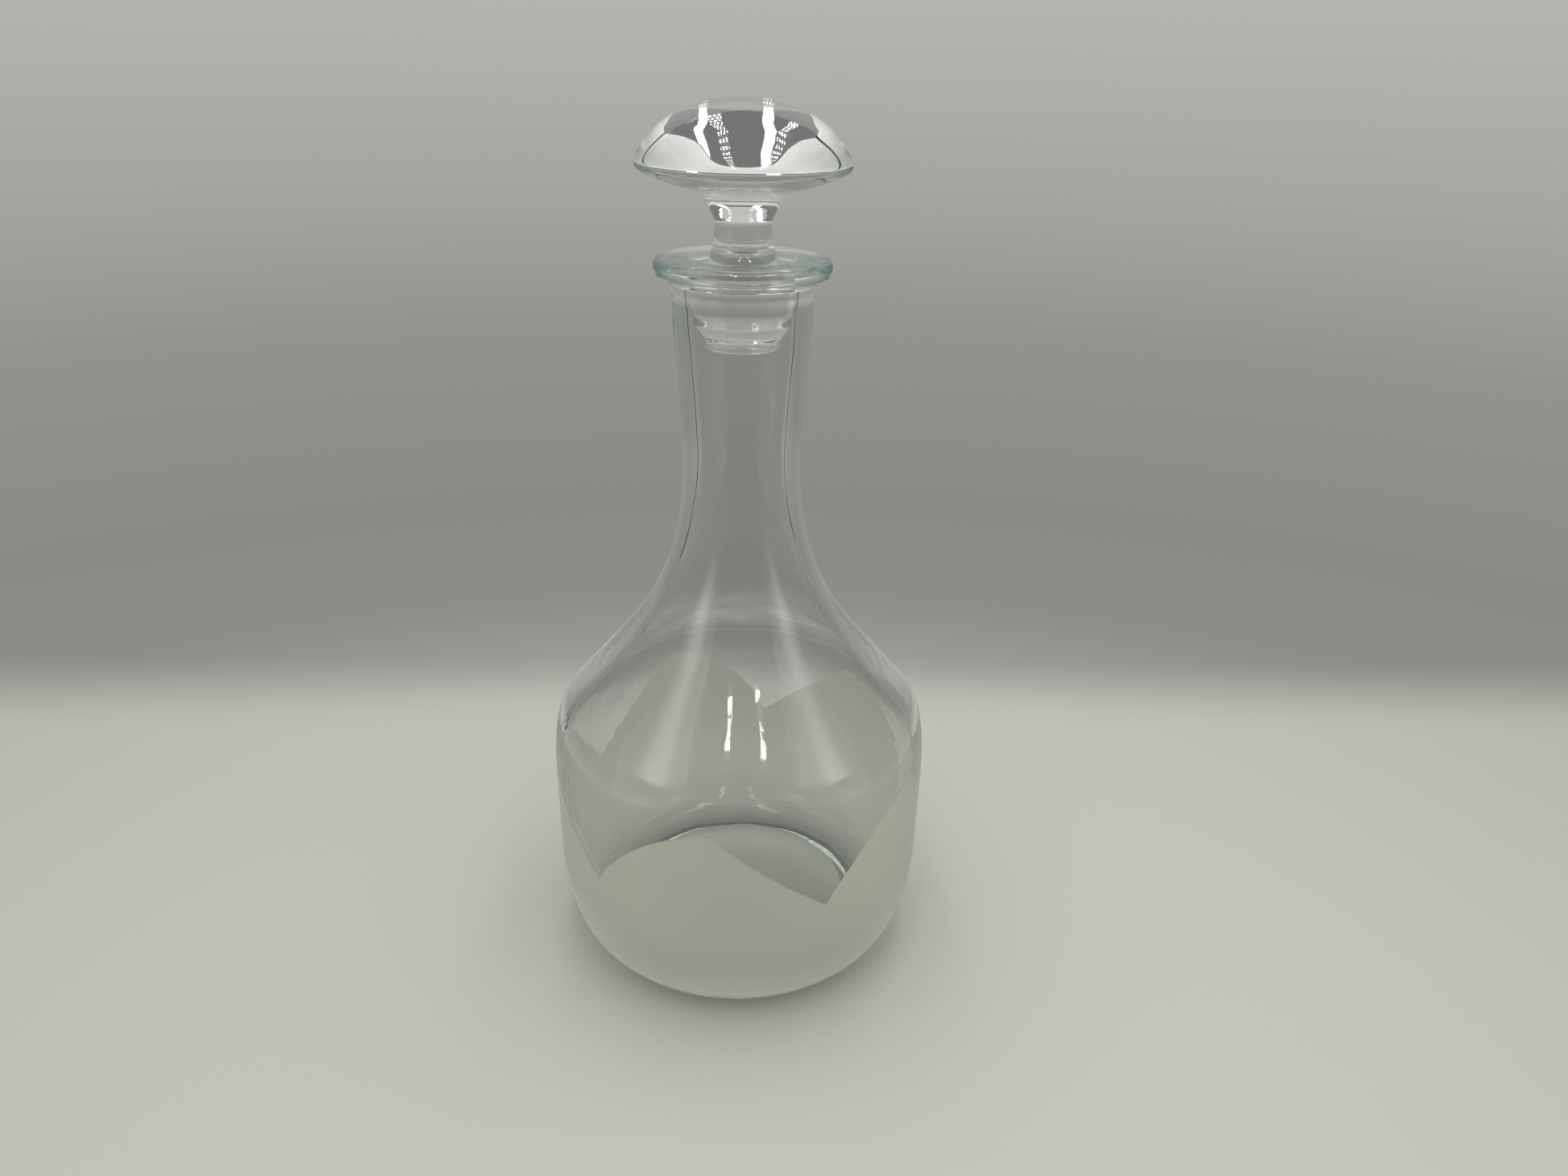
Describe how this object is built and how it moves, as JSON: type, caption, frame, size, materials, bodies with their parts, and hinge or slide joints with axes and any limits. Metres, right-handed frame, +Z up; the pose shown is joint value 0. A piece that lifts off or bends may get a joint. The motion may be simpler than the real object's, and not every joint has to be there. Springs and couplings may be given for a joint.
{
  "type": "wine decanter",
  "caption": "Clear glass wine decanter: round belly with a frosted lower band, long slender neck, flat pouring collar and solid mushroom stopper that lifts out.",
  "frame": {"origin": "middle of the foot ring, on the surface that the decanter stands on", "axes": "+Z up along the axis of the neck; X and Y are level, and the front of the frosted band faces -Y"},
  "size_m": [0.126, 0.126, 0.28],
  "materials": {
    "clear_glass": "clear soda-lime glass, with a sandblasted band of rolling hills on the outside of the lower body",
    "collar_glass": "fire-polished clear glass, faintly blue-green where it is thick",
    "stopper_glass": "polished solid clear glass"
  },
  "bodies": {
    "decanter": {"vessel": "clear_glass", "lip_collar": "collar_glass"},
    "stopper": {"stopper_peg": "stopper_glass", "stopper_knob": "stopper_glass"}
  },
  "joints": [
    {"name": "stopper_lift", "type": "slide", "parent": "decanter", "child": "stopper", "axis": [0, 0, 1], "range_m": [0, 0.06]}
  ]
}
